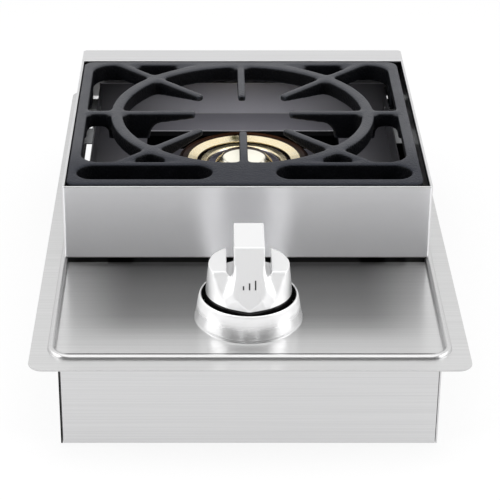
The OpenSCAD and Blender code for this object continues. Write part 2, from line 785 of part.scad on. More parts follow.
module tap_body() {
    color(brass) translate([0, knob_y, 0]) difference() {
        union() {
            translate([0, 0, tap_z]) cylinder(r = tap_r, h = cover_z - tap_z);
            translate([0, 0, cover_z - 6]) cylinder(r = tap_r + 5, h = 6);
            translate([0, 0, port_z]) rotate([0, 90, 0]) cylinder(r = 7, h = tap_r + 8);
            translate([0, 0, venturi_z]) rotate([-90, 0, 0]) cylinder(r = 7, h = tap_r + 3);
        }
        translate([0, 0, plug_z]) cylinder(r = plug_r + run_gap, h = cover_z);
        translate([0, 0, port_z]) rotate([0, 90, 0]) cylinder(r = 3, h = tap_r + 20);
        translate([0, 0, venturi_z]) rotate([-90, 0, 0]) cylinder(r = 2.5, h = tap_r + 20);
        tap_screw_places() screw_hole(tap_screw, 2 * tap_screw[1] + 2);
    }
}

module tap_screw_places() {
    for (s = [-1, 1]) translate([s * tap_screw_x, 0, cover_z + cover_t]) children();
}

module tap_plug() {
    slot_z = plug_top - push_travel - tongue_in - 0.5;
    color(brass) translate([0, knob_y, 0]) difference() {
        translate([0, 0, plug_z + run_gap]) cylinder(r = plug_r, h = plug_top - plug_z - run_gap);
        translate([0, 0, slot_z])
            block([-tongue_w / 2 - 0.1, -tongue_l, 0], [tongue_w / 2 + 0.1, tongue_l, plug_top]);
        translate([0, 0, port_z]) rotate([0, 90, 0]) cylinder(r = 2.5, h = plug_r + 2);
        translate([0, 0, venturi_z]) rotate([0, 0, 120]) rotate([0, 90, 0]) cylinder(r = 1.5, h = plug_r + 2);
        translate([0, 0, port_z]) cylinder(r = 2, h = venturi_z - port_z);
    }
}

module tap_bonnet() {
    color(brass) translate([0, knob_y, bonnet_z]) ring(plug_r, stem_r + run_gap, bonnet_top - bonnet_z);
}

module tap_stem() {
    foot = plug_top - tongue_in;
    round_z = plug_top + push_travel + 0.5;
    color(steel) translate([0, knob_y, 0]) {
        translate([0, 0, round_z]) cylinder(r = stem_r, h = stem_top - round_z);
        intersection() {
            block([-tongue_w / 2, -tongue_l, foot], [tongue_w / 2, tongue_l, round_z + overlap]);
            translate([0, 0, foot]) cylinder(r = stem_r, h = stem_top - foot);
        }
    }
}

module push_collar() {
    color(zinc) translate([0, knob_y, collar_z]) ring(collar_r, stem_r + run_gap, collar_h);
}

module stem_clip() {
    color(dark_steel) translate([0, knob_y, collar_z + collar_h + 0.05])
        ring(collar_r - 0.5, stem_r + run_gap / 5, clip_h);
}

// Return spring: round wire, wound from the bonnet up to the collar
spring_r = stem_r + wire_d / 2 + 0.7;
spring_low = bonnet_top + wire_d / 2 + 0.05;
spring_rise = collar_z - bonnet_top - wire_d - 0.1;
spring_steps = 20;
spring_route = [for (i = [0:spring_steps * spring_turns]) let (t = i / spring_steps)
    [spring_r * cos(360 * t), knob_y + spring_r * sin(360 * t), spring_low + spring_rise * t / spring_turns]];
echo("least gap between the spring's turns", spring_rise / spring_turns - wire_d);
module return_spring() {
    color(steel) tube(spring_route, wire_d / 2, [0, 0, 1], 8);
}

module tap_bracket() {
    leg = bracket_x - 7;
    color(zinc) translate([0, knob_y, 0]) difference() {
        union() {
            block([-leg, -12, cover_z], [leg, 12, cover_z + cover_t]);
            for (s = [0, 1]) mirror([s, 0, 0]) {
                block([leg - cover_t, -12, cover_z], [leg, 12, body_h]);
                block([leg - cover_t, -12, body_h - cover_t], [leg + 14, 12, body_h]);
            }
        }
        translate([0, 0, cover_z - 1]) cylinder(r = plug_r + 0.5, h = cover_t + 2);
        tap_screw_places() screw_hole(tap_screw, 3 * cover_t);
        for (s = [-1, 1]) translate([s * bracket_x, 0, body_h]) screw_hole(bracket_screw, 3 * cover_t);
    }
}

// Gas line

module gas_pipe_solid(r) {
    x0 = tap_r + 8.1;
    y1 = inlet_y() - 12;
    translate([x0, knob_y, port_z]) rotate([0, 90, 0]) cylinder(r = r, h = pipe_x - bend_r - x0);
    translate([pipe_x - bend_r, knob_y + bend_r, port_z]) rotate(-90)
        rotate_extrude(angle = 90) translate([bend_r, 0]) circle(r);
    translate([pipe_x, knob_y + bend_r, port_z]) rotate([-90, 0, 0])
        cylinder(r = r, h = y1 - knob_y - bend_r);
}

function inlet_y() = body_y - body_sheet;

module gas_pipe() {
    color(zinc) difference() {
        gas_pipe_solid(pipe_r);
        gas_pipe_solid(pipe_r - pipe_wall);
    }
}

module pipe_nut() {
    color(brass) translate([tap_r + 8.2, knob_y, port_z]) rotate([0, 90, 0]) difference() {
        hexagon(2 * nut_r, 12);
        translate([0, 0, -1]) cylinder(r = pipe_r + run_gap, h = 14);
    }
}

module inlet_fitting() {
    y = inlet_y();
    color(brass) translate([pipe_x, y, inlet_z]) rotate([-90, 0, 0]) difference() {
        union() {
            translate([0, 0, -14]) hexagon(22, 14);
            cylinder(r = inlet_shank_r, h = body_sheet + inlet_nut_h);
            cylinder(r = inlet_r, h = inlet_end - y - 3);
            translate([0, 0, inlet_end - y - 3]) cylinder(r1 = inlet_r - 0.8, r2 = pipe_r + 1, h = 3);
        }
        translate([0, 0, -11.9]) cylinder(r = pipe_r - pipe_wall, h = 60);
        translate([0, 0, -15]) cylinder(r = pipe_r + run_gap, h = 3.1);
    }
}

module inlet_nut() {
    color(brass) translate([pipe_x, body_y, inlet_z]) rotate([-90, 0, 0]) difference() {
        hexagon(24, inlet_nut_h - 0.5);
        translate([0, 0, -1]) cylinder(r = inlet_shank_r + run_gap, h = 10);
    }
}

// Ignition

module spark_ceramic() {
    color("white") translate([spark_x, spark_y, spark_z]) difference() {
        union() {
            cylinder(r = spark_r, h = spark_h - 3);
            translate([0, 0, spark_h - 3]) cylinder(r1 = spark_r, r2 = spark_r - 1.2, h = 3);
            translate([0, 0, -2]) cylinder(r = spark_r + 1.2, h = 2.5);
        }
        translate([0, 0, -3]) cylinder(r = 1.05, h = spark_h + 4);
    }
}

module spark_tip() {
    top = spark_z + spark_h + 3;
    color(steel) {
        translate([spark_x, spark_y, spark_z - 2]) cylinder(r = 1, h = spark_h + 5);
        translate([spark_x, spark_y, top]) sphere(1);
        translate([spark_x, spark_y, top]) rotate(45) rotate([0, 90, 0]) cylinder(r = 1, h = 3);
    }
}

module spark_bracket() {
    z = shoulder_z + sheet;
    color(zinc) difference() {
        union() {
            translate([spark_x, spark_y, z]) cylinder(r = spark_r + 4, h = sheet);
            translate([spark_x, spark_y, z]) rotate(45) block([0, -6, 0], [14, 6, sheet]);
        }
        translate([spark_x, spark_y, z - 1]) cylinder(r = spark_r + run_gap, h = 4);
        translate([0, burner_y, z - 1]) cylinder(r = bowl_r + 0.5, h = 4);
    }
}

module_top = module_at.z + module_size.z;
wire_r = 1.5;
spark_end = module_at + plug_end;
spark_points = [[spark_x, spark_y, spark_z - 2.4], [spark_x, spark_y, 22], spark_end + [4, 59.6, 6],
    spark_end];
module spark_wire() {
    color("dimgray") tube(curve(spark_points, 22), wire_r, [1, 0.4, 0], 8);
}

module spark_module() {
    low = module_at;
    color("dimgray") {
        block(low, low + module_size);
        translate([low.x + 6, low.y + 8, module_top - overlap]) cube([24, 40, 3]);
    }
}

module spark_switch() {
    color("dimgray") translate([-24, knob_y, cover_z + cover_t]) block([-0.5, -7, 0], [7, 7, 5]);
}

switch_start = [-21, knob_y + 7.3, cover_z + cover_t + 2.5];
switch_end = spark_end + plug_step;
switch_points = [switch_start, switch_start + [-4, 70, 0], switch_end + [0, 60, 4], switch_end];
module switch_wire() {
    color("dimgray") tube(curve(switch_points, 24), 1, [0, 0, 1], 8);
}

// Knob

module bezel() {
    top = bezel_top;
    cone = bezel_r - rim_r - rim_w;
    floor_z = bezel_floor - bezel_plate;
    color(chrome) translate([0, knob_y, 0]) difference() {
        union() {
            rotate_extrude() polygon([[bezel_r, panel_top], [rim_r + rim_w, top - 1], [rim_r + rim_w - 0.7, top],
                [rim_r + 0.6, top], [rim_r, top - 0.6], [rim_r, bezel_floor], [stem_hole_r, bezel_floor],
                [stem_hole_r, floor_z], [bezel_r - cone / 2 - 1.5, floor_z], [bezel_r - 1.8, panel_top]]);
            translate([0, -knob_y, 0]) bezel_screw_places() translate([0, 0, panel_top])
                cylinder(r = post_r, h = floor_z - panel_top + overlap);
        }
        translate([0, -knob_y, 0]) bezel_screw_places() translate([0, 0, panel_top - 1])
            cylinder(r = 1.55, h = bezel_h);
    }
}

// The grip seen from the side, in distance behind the knob's axis and height over the skirt's foot
grip_front = -34.5;
grip_rear = 30;
grip_top_front = -13;
chin_z = 9;
mark_foot = 31;
cheek_slope = 51.6; // fall of the skirt's top in front of the grip's crest
slot_gap = 5.5; // width of the slot on each side of the grip
slot_start = -14.6; // its closed front end
slot_depth = 14;
hollow_top = 9; // height of the hollow under the skirt
hollow_r = skirt_top_r - 4;

module knob_skirt() {
    length = skirt_r - slot_start;
    difference() {
        cylinder(r1 = skirt_r, r2 = skirt_top_r, h = skirt_h);
        translate([0, grip_top_front, skirt_h]) rotate([cheek_slope, 0, 0])
            block([-skirt_r, -2 * skirt_r, 0], [skirt_r, 0, skirt_r]);
        for (s = [-1, 1])
            translate([s * (grip_w + slot_gap) / 2, slot_start + length / 2, skirt_h - slot_depth])
                linear_extrude(slot_depth + 1) rotate(90) stadium(length, slot_gap);
    }
}

module knob_grip() {
    half = grip_w / 2;
    intersection() {
        linear_extrude(grip_h) polygon([[-half, grip_rear], [-half, -20], [-1.5, grip_front],
            [1.5, grip_front], [half, -20], [half, grip_rear]]);
        rotate([90, 0, 90]) linear_extrude(grip_w, center = true) polygon([[grip_front, 0],
            [grip_front, chin_z], [grip_top_front, grip_h], [grip_rear - 3, grip_h], [grip_rear, grip_h - 3],
            [grip_rear, 0]]);
    }
}

module knob() {
    boss = 8;
    color(chrome) translate([0, knob_y, knob_z]) difference() {
        union() {
            knob_skirt();
            intersection() {
                knob_grip();
                cylinder(r = skirt_r + 2, h = grip_h);
            }
        }
        difference() {
            translate([0, 0, -1]) cylinder(r = hollow_r, h = hollow_top + 1);
            translate([0, 0, -2]) cylinder(r = boss, h = 20);
        }
        translate([0, 0, -1]) cylinder(r = stem_r + run_gap, h = stem_top - knob_z + 1.2);
    }
}

// Three bars of rising length on the grip's slope, as a plain setting mark
module knob_mark() {
    slope = atan2(grip_h - chin_z, grip_top_front - grip_front);
    color("dimgray") translate([0, knob_y + grip_top_front, knob_z + grip_h]) rotate([slope, 0, 0])
        for (i = [0:2]) translate([(i - 1) * 4.4 - 0.5, -mark_foot, 0.02]) cube([1, 3 + 2 * i, 0.15]);
}

module knob_clip() {
    color(steel) translate([0, knob_y, knob_z + 2]) ring(9.1, 8.05, 6);
}

// Fasteners

module box_screws() {
    color(zinc) tab_screw_places() screw(box_screw);
}

module bezel_screws() {
    color(zinc) bezel_screw_places() translate([0, 0, bezel_floor]) screw(bezel_screw);
}

module bracket_screws() {
    color(zinc) for (s = [-1, 1]) translate([s * bracket_x, knob_y, panel_top]) screw(bracket_screw);
}

module tap_screws() {
    color(zinc) translate([0, knob_y, 0]) tap_screw_places() screw(tap_screw);
}

module burner_screws() {
    color(zinc) translate([0, burner_y, 0]) for (s = [-1, 1]) {
        translate([s * bowl_screw_x, 0, bowl_z - body_sheet]) mirror([0, 0, 1]) screw(bowl_screw);
        translate([s * tray_screw_x, 0, 2 * body_sheet]) screw(tray_screw);
    }
}

module body_screws() {
    color(zinc) for (s = [0, 1]) mirror([s, 0, 0]) body_screw_places() screw(body_screw);
}

module liner_screws() {
    color(zinc) liner_screw_places() screw(liner_screw);
}

top_pan();
raised_box();
front_panel();
rear_panel();
left_panel();
right_panel();
base_tray();
burner_liner();
liner_brackets();
heat_shield();
grate();
burner_bowl();
burner_bracket();
burner_head();
burner_cap();
venturi_tube();
air_shutter();
gas_orifice();
tap_body();
tap_plug();
tap_bonnet();
tap_stem();
return_spring();
push_collar();
stem_clip();
tap_bracket();
gas_pipe();
pipe_nut();
inlet_fitting();
inlet_nut();
spark_ceramic();
spark_tip();
spark_bracket();
spark_wire();
spark_module();
spark_switch();
switch_wire();
bezel();
knob();
knob_mark();
knob_clip();
box_screws();
bezel_screws();
bracket_screws();
tap_screws();
burner_screws();
body_screws();
liner_screws();
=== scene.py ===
import bpy
import bmesh
import json
import math
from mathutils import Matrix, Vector


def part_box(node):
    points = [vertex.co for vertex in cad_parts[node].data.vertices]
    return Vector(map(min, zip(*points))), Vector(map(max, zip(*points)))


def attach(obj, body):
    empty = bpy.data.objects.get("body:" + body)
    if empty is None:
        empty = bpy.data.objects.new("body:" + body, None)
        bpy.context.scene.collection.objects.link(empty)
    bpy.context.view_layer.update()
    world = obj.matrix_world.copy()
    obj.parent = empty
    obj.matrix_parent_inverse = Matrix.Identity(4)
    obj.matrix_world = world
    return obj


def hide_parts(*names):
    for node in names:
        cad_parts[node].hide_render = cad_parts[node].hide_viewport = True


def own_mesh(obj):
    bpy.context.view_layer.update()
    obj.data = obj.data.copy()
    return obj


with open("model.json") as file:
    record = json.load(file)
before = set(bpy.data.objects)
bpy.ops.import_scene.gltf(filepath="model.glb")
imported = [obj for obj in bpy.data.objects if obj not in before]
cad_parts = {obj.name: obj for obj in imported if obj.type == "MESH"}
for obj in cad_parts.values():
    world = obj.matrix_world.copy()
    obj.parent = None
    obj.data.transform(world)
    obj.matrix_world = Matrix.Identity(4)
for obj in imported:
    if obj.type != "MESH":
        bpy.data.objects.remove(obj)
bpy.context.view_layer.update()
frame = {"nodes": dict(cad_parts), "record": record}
nodes = frame["nodes"]
bodies = frame["record"]["behaviour"]["bodies"]
bodyOf = {node: body for body, members in bodies.items() for node in members}
scene = bpy.context.scene
scene.view_settings.view_transform = "Standard"
mm = 0.001
print("frame loaded,", len(nodes), "nodes")

# The photograph's view: a long lens, a little left of the middle and about 28 degrees above the worktop
cameraView = {
    "place": (-27.2, -1390.1, 769.2),
    "tilt": 62.26,
    "lens": 134.6,
    "sensor": 36,
    "shift": 0.0756,
    "reach": 50,
}


def placeCamera():
    camera = bpy.data.objects.new("camera", bpy.data.cameras.new("camera"))
    scene.collection.objects.link(camera)
    camera.location = Vector(cameraView["place"]) * mm
    camera.rotation_euler = (math.radians(cameraView["tilt"]), 0, 0)
    camera.data.lens = cameraView["lens"]
    camera.data.sensor_width = cameraView["sensor"]
    camera.data.shift_x = cameraView["shift"]
    camera.data.clip_end = cameraView["reach"]
    scene.camera = camera


placeCamera()


# Node wiring

def setInput(tree, socket, value):
    if isinstance(value, bpy.types.NodeSocket):
        tree.links.new(value, socket)
    else:
        socket.default_value = value


def addNode(tree, kind, inputs=None, **settings):
    node = tree.nodes.new(kind)
    for key, value in settings.items():
        setattr(node, key, value)
    for key, value in (inputs or {}).items():
        setInput(tree, node.inputs[key], value)
    return node


def addMath(tree, operation, first, second=0.0, third=0.0, clamp=False):
    inputs = {0: first, 1: second, 2: third}
    return addNode(tree, "ShaderNodeMath", inputs, operation=operation, use_clamp=clamp).outputs[0]


def addMix(tree, factor, first, second):
    node = addNode(tree, "ShaderNodeMix", data_type="RGBA")
    for key, value in (("Factor", factor), ("A", first), ("B", second)):
        setInput(tree, [s for s in node.inputs if s.name == key and s.enabled][0], value)
    return [s for s in node.outputs if s.enabled][0]


def addRamp(tree, factor, stops):
    node = addNode(tree, "ShaderNodeValToRGB", {0: factor})
    ramp = node.color_ramp
    while len(ramp.elements) < len(stops):
        ramp.elements.new(0.5)
    for element, (position, shade) in zip(ramp.elements, stops):
        element.position = position
        element.color = (*shade, 1) if isinstance(shade, tuple) else (shade, shade, shade, 1)
    return node.outputs[0]


def addRange(tree, value, low, high, start=0.0, curve="LINEAR"):
    # from start at low to one at high
    inputs = {"Value": value, "From Min": low, "From Max": high, "To Min": start}
    return addNode(tree, "ShaderNodeMapRange", inputs, interpolation_type=curve).outputs[0]


def addPlace(tree):
    return addNode(tree, "ShaderNodeTexCoord").outputs["Object"]


def splitPlace(tree):
    return addNode(tree, "ShaderNodeSeparateXYZ", {0: addPlace(tree)}).outputs


def addVector(tree, operation, first, second=(0, 0, 0)):
    return addNode(tree, "ShaderNodeVectorMath", {0: first, 1: second}, operation=operation).outputs


def newGroup(name, inputs, outputs):
    tree = bpy.data.node_groups.new(name, "ShaderNodeTree")
    for label, kind, value in inputs:
        socket = tree.interface.new_socket(label, in_out="INPUT", socket_type=kind)
        socket.default_value = value
    for label in outputs:
        tree.interface.new_socket(label, in_out="OUTPUT", socket_type="NodeSocketFloat")
    given = tree.nodes.new("NodeGroupInput").outputs
    made = tree.nodes.new("NodeGroupOutput").inputs
    return tree, given, made


def placeGroup(tree, group, **values):
    node = tree.nodes.new("ShaderNodeGroup")
    node.node_tree = group
    for key, value in values.items():
        setInput(tree, node.inputs[key], value)
    return node.outputs


# Shared effects

def makeBrushGroup():
    # fine lines along one axis, as left by a belt, with a slow drift of gloss across the sheet
    tree, given, made = newGroup("brushLines", [
        ("Stretch", "NodeSocketVector", (4, 900, 900)),
        ("Drift", "NodeSocketFloat", 6.0),
    ], ["Lines", "Gloss"])
    place = addPlace(tree)
    along = addVector(tree, "MULTIPLY", place, given["Stretch"])[0]
    lines = addNode(tree, "ShaderNodeTexNoise", {"Vector": along, "Scale": 1.0, "Detail": 3.0})
    drift = addNode(tree, "ShaderNodeTexNoise", {"Vector": place, "Scale": given["Drift"], "Detail": 2.0})
    tree.links.new(lines.outputs["Fac"], made["Lines"])
    half = addMath(tree, "MULTIPLY", lines.outputs["Fac"], 0.5)
    tree.links.new(addMath(tree, "MULTIPLY_ADD", drift.outputs["Fac"], 0.5, half), made["Gloss"])
    return tree


def makeCastGroup():
    # sand-cast skin: small pits over a soft swell
    tree, given, made = newGroup("castSkin", [
        ("Grain", "NodeSocketFloat", 900.0),
        ("Swell", "NodeSocketFloat", 90.0),
    ], ["Height", "Mottle"])
    place = addPlace(tree)
    grain = addNode(tree, "ShaderNodeTexNoise", {"Vector": place, "Scale": given["Grain"], "Detail": 3.0})
    pits = addNode(tree, "ShaderNodeTexVoronoi", {"Vector": place, "Scale": given["Grain"]})
    swell = addNode(tree, "ShaderNodeTexNoise", {"Vector": place, "Scale": given["Swell"], "Detail": 4.0})
    height = addMath(tree, "MULTIPLY_ADD", pits.outputs["Distance"], 0.5, grain.outputs["Fac"])
    tree.links.new(height, made["Height"])
    tree.links.new(swell.outputs["Fac"], made["Mottle"])
    return tree


def makeWearGroup():
    # how much an edge is rubbed: convex edges of a dense mesh, broken up by noise
    tree, given, made = newGroup("edgeWear", [
        ("Start", "NodeSocketFloat", 0.51),
        ("End", "NodeSocketFloat", 0.56),
        ("Patches", "NodeSocketFloat", 120.0),
    ], ["Wear"])
    point = addNode(tree, "ShaderNodeNewGeometry").outputs["Pointiness"]
    patches = addNode(tree, "ShaderNodeTexNoise", {
        "Vector": addPlace(tree), "Scale": given["Patches"], "Detail": 4.0})
    edge = addRange(tree, point, given["Start"], given["End"])
    broken = addMath(tree, "MULTIPLY_ADD", patches.outputs["Fac"], 1.2, 0.2)
    tree.links.new(addMath(tree, "MULTIPLY", edge, broken, clamp=True), made["Wear"])
    return tree


def makeHeatGroup():
    # a round spot with a wavering edge
    tree, given, made = newGroup("roundSpot", [
        ("Centre", "NodeSocketVector", (0, 0, 0)),
        ("Radius", "NodeSocketFloat", 0.05),
        ("Blur", "NodeSocketFloat", 0.012),
    ], ["Heat"])
    place = addPlace(tree)
    away = addVector(tree, "DISTANCE", place, given["Centre"])["Value"]
    waver = addNode(tree, "ShaderNodeTexNoise", {"Vector": place, "Scale": 70.0, "Detail": 3.0})
    reach = addMath(tree, "MULTIPLY_ADD", waver.outputs["Fac"], given["Blur"], away)
    edge = addMath(tree, "ADD", given["Radius"], given["Blur"])
    tree.links.new(addRange(tree, reach, edge, given["Radius"], curve="SMOOTHSTEP"), made["Heat"])
    return tree


def makeRoomGroup():
    # one inside an upright box of space, nothing outside it, for tones that keep to one place of the part
    tree, given, made = newGroup("boxRoom", [
        ("Low", "NodeSocketVector", (0, 0, 0)),
        ("High", "NodeSocketVector", (0, 0, 0)),
        ("Blur", "NodeSocketFloat", 0.0004),
    ], ["Inside"])
    place = addPlace(tree)
    over = addVector(tree, "SUBTRACT", place, given["Low"])[0]
    under = addVector(tree, "SUBTRACT", given["High"], place)[0]
    nearest = addVector(tree, "MINIMUM", over, under)[0]
    least = addNode(tree, "ShaderNodeSeparateXYZ", {0: nearest}).outputs
    depth = addMath(tree, "MINIMUM", least["X"], addMath(tree, "MINIMUM", least["Y"], least["Z"]))
    tree.links.new(addRange(tree, depth, 0.0, given["Blur"]), made["Inside"])
    return tree


def makeRadiusGroup():
    # distance from an upright axis, in metres
    tree, given, made = newGroup("axisRadius", [("Centre", "NodeSocketVector", (0, 0, 0))], ["Radius"])
    away = addVector(tree, "SUBTRACT", addPlace(tree), given["Centre"])[0]
    flat = addVector(tree, "MULTIPLY", away, (1, 1, 0))[0]
    tree.links.new(addVector(tree, "LENGTH", flat)["Value"], made["Radius"])
    return tree


def makeUpwardGroup():
    # one on faces that look up, nothing on upright faces
    tree, given, made = newGroup("faceUp", [
        ("Start", "NodeSocketFloat", 0.25),
        ("End", "NodeSocketFloat", 0.8),
    ], ["Up"])
    normal = addNode(tree, "ShaderNodeNewGeometry").outputs["Normal"]
    turn = addNode(tree, "ShaderNodeSeparateXYZ", {0: normal}).outputs["Z"]
    tree.links.new(addRange(tree, turn, given["Start"], given["End"]), made["Up"])
    return tree


brushLines = makeBrushGroup()
castSkin = makeCastGroup()
edgeWear = makeWearGroup()
roundSpot = makeHeatGroup()
boxRoom = makeRoomGroup()
axisRadius = makeRadiusGroup()
faceUp = makeUpwardGroup()


# Materials, one for each finish of the record

def newFinish(name):
    material = bpy.data.materials.new(name)
    material.use_nodes = True
    tree = material.node_tree
    return material, tree, tree.nodes["Principled BSDF"].inputs


toneStops = (0.3, 0.7)


def twoTones(shade, less, more):
    # a ramp from a little under a shade to a little over it
    return [(toneStops[0], tuple(c * less for c in shade)),
            (toneStops[1], tuple(min(c * more, 1) for c in shade))]


def addBump(tree, shader, height, strength, distance):
    bump = addNode(tree, "ShaderNodeBump", {"Height": height, "Strength": strength, "Distance": distance})
    tree.links.new(bump.outputs[0], shader["Normal"])


def paintRooms(tree, tint, rooms, blur=0.0004, cool=1.02):
    # each room has its low corner, its high corner and the grey inside it
    for low, high, light in rooms:
        inside = placeGroup(tree, boxRoom, Low=low, High=high, Blur=blur)["Inside"]
        tint = addMix(tree, inside, tint, (light, light, light * cool, 1))
    return tint


# Where a look has a "bump", it is the strength and the depth in metres
steelLook = {"stripe": 0.06, "bump": (0.06, 0.0002)}


def brushedSteel(name, shade, rough, spread, stretch, turned=0.0, rooms=(), shaded=None):
    material, tree, shader = newFinish(name)
    lines = placeGroup(tree, brushLines, Stretch=stretch)
    stripe = steelLook["stripe"]
    tint = addRamp(tree, lines["Lines"], twoTones(shade, 1 - stripe, 1 + stripe))
    if shaded:
        # painted shade: the panel grows darker towards the box, for camera rays only, so its image in the
        # box's wall stays bright
        way = splitPlace(tree)
        depth = addRamp(tree, addRange(tree, way["Y"], shaded["front"], shaded["back"]), shaded["ramp"])
        aside = addRange(tree, addMath(tree, "ABSOLUTE", way["X"]), shaded["side"], shaded["middle"],
                         curve="SMOOTHSTEP")
        seen = addNode(tree, "ShaderNodeLightPath").outputs["Is Camera Ray"]
        depth = addMath(tree, "MULTIPLY", addMath(tree, "MULTIPLY", depth, aside), seen)
        tint = addMix(tree, depth, tint, (*(c * shaded["darkest"] for c in shade), 1))
    tree.links.new(paintRooms(tree, tint, rooms), shader["Base Color"])
    gloss = addMath(tree, "MULTIPLY_ADD", lines["Gloss"], 2 * spread, rough - spread)
    tree.links.new(gloss, shader["Roughness"])
    shader["Metallic"].default_value = 1.0
    if turned:
        shader["Anisotropic"].default_value = turned
        tangent = addNode(tree, "ShaderNodeTangent", direction_type="UV_MAP", uv_map="grain")
        tree.links.new(tangent.outputs[0], shader["Tangent"])
    addBump(tree, shader, lines["Lines"], *steelLook["bump"])
    return material


castLook = {
    "tones": (0.8, 1.25),
    "wear": (0.515, 0.57),
    "rubbed": 0.12,
    "mottle": 0.25,
    "depth": 0.0007,
    # level faces are lighter, as dust and as painted light for the light they catch; the grate's front
    # bar, by its reach in Y, has less of the coat
    "top": (0.014, 0.016, 0.024, 1),
    "bar": (-0.06, 0.01),
    "barCoat": 0.15,
    "patchy": 0.5,
}


def castFinish(name, shade, worn, rough, grain, bump, gloss=0.5, dustAndLight=0.0):
    material, tree, shader = newFinish(name)
    skin = placeGroup(tree, castSkin, Grain=grain)
    mottle = skin["Mottle"]
    wear = placeGroup(tree, edgeWear, Start=castLook["wear"][0], End=castLook["wear"][1])["Wear"]
    tint = addMix(tree, wear, addRamp(tree, mottle, twoTones(shade, *castLook["tones"])), (*worn, 1))
    dull = addMath(tree, "MULTIPLY_ADD", mottle, castLook["mottle"], rough - castLook["rubbed"])
    dull = addMath(tree, "MULTIPLY_ADD", wear, -castLook["rubbed"], dull)
    tree.links.new(dull, shader["Roughness"])
    shader["Specular IOR Level"].default_value = gloss
    if dustAndLight:
        up = placeGroup(tree, faceUp)["Up"]
        # dust and painted light: level faces lighter
        tint = addMix(tree, up, tint, castLook["top"])
        shader["Coat Roughness"].default_value = rough
        front = addRange(tree, splitPlace(tree)["Y"], *castLook["bar"], start=castLook["barCoat"],
                         curve="SMOOTHSTEP")
        patches = addMath(tree, "ADD", mottle, castLook["patchy"])
        coat = addMath(tree, "MULTIPLY", addMath(tree, "MULTIPLY", front, patches), dustAndLight)
        tree.links.new(addMath(tree, "MULTIPLY", up, coat, clamp=True), shader["Coat Weight"])
    tree.links.new(tint, shader["Base Color"])
    addBump(tree, shader, skin["Height"], bump, castLook["depth"])
    return material


# Distances are in metres; "burnt" and "char" run over the distance from the burner's axis, as a part of
# "reach"
burnerTones = {
    "centre": (0, 0.0583, 0.094),
    "reach": 0.06,
    "grain": {"Stretch": (260, 260, 1500), "Drift": 60.0},
    "smoothest": 0.12,
    "spread": 0.2,
    "bump": (0.05, 0.0002),
    "brass": [(0.3, (0.96, 0.80, 0.50)), (0.7, (1.0, 0.90, 0.66))],
    "burnt": [(0.0, 0.0), (0.621, 0.0), (0.624, 1.0), (0.668, 1.0), (0.672, 0.0), (0.818, 0.0),
              (0.832, 1.0), (1.0, 1.0)],
    "char": [(0.0, (0.012, 0.006, 0.003)), (0.88, (0.02, 0.008, 0.004)), (0.91, (0.045, 0.018, 0.009)),
             (0.95, (0.016, 0.006, 0.003))],
    "fingerReflection": {"Centre": (-0.008, 0.1028, 0.0945), "Radius": 0.0025, "Blur": 0.006},
    "fingerReflectionShade": (0.16, 0.15, 0.06, 1),
    "plate": {"Low": (-0.0315, 0.0268, 0.085), "High": (0.0315, 0.0898, 0.0922)},
    "plateShade": (0.17, 0.165, 0.21, 1),
    "cap": {"Low": (-0.03, 0.0283, 0.0968), "High": (0.03, 0.0883, 0.12)},
    "capShade": (1.0, 0.965, 0.84, 1),
    "capTop": {"Low": (-0.0190, 0.0393, 0.0981), "High": (0.0190, 0.0773, 0.12)},
    "capDull": 0.8,
    "crescent": {"centre": (0, 0.0513, 0.094), "from": 0.0182, "to": 0.0190},
    "crescentShade": (0.025, 0.011, 0.005, 1),
}


def hotBrass(name):
    # polished rings, burnt brown outside them and in the groove, a dull plate and a pale cap, with a
    # painted reflection on the ring and painted shade on the cap's far rim
    tones = burnerTones
    material, tree, shader = newFinish(name)
    lines = placeGroup(tree, brushLines, **tones["grain"])
    radius = placeGroup(tree, axisRadius, Centre=tones["centre"])["Radius"]
    reach = addMath(tree, "MULTIPLY", radius, 1 / tones["reach"])
    tint = addRamp(tree, lines["Gloss"], tones["brass"])
    # painted reflection: a grate finger's greenish image on the ring
    tint = addMix(tree, placeGroup(tree, roundSpot, **tones["fingerReflection"])["Heat"], tint, tones["fingerReflectionShade"])
    tint = addMix(tree, addRamp(tree, reach, tones["burnt"]), tint, addRamp(tree, reach, tones["char"]))
    tint = addMix(tree, placeGroup(tree, boxRoom, **tones["plate"])["Inside"], tint, tones["plateShade"])
    tint = addMix(tree, placeGroup(tree, boxRoom, **tones["cap"])["Inside"], tint, tones["capShade"])
    # painted shade: the far rim of the cap's top is dark, as a crescent
    crescent = tones["crescent"]
    near = placeGroup(tree, axisRadius, Centre=crescent["centre"])["Radius"]
    top = placeGroup(tree, boxRoom, **tones["capTop"])["Inside"]
    rim = addMath(tree, "MULTIPLY", addRange(tree, near, crescent["from"], crescent["to"]), top)
    tree.links.new(addMix(tree, rim, tint, tones["crescentShade"]), shader["Base Color"])
    rough = addMath(tree, "MULTIPLY_ADD", lines["Gloss"], tones["spread"], tones["smoothest"])
    tree.links.new(rough, shader["Roughness"])
    tree.links.new(addMath(tree, "MULTIPLY_ADD", top, -tones["capDull"], 1.0), shader["Metallic"])
    addBump(tree, shader, lines["Lines"], *tones["bump"])
    return material
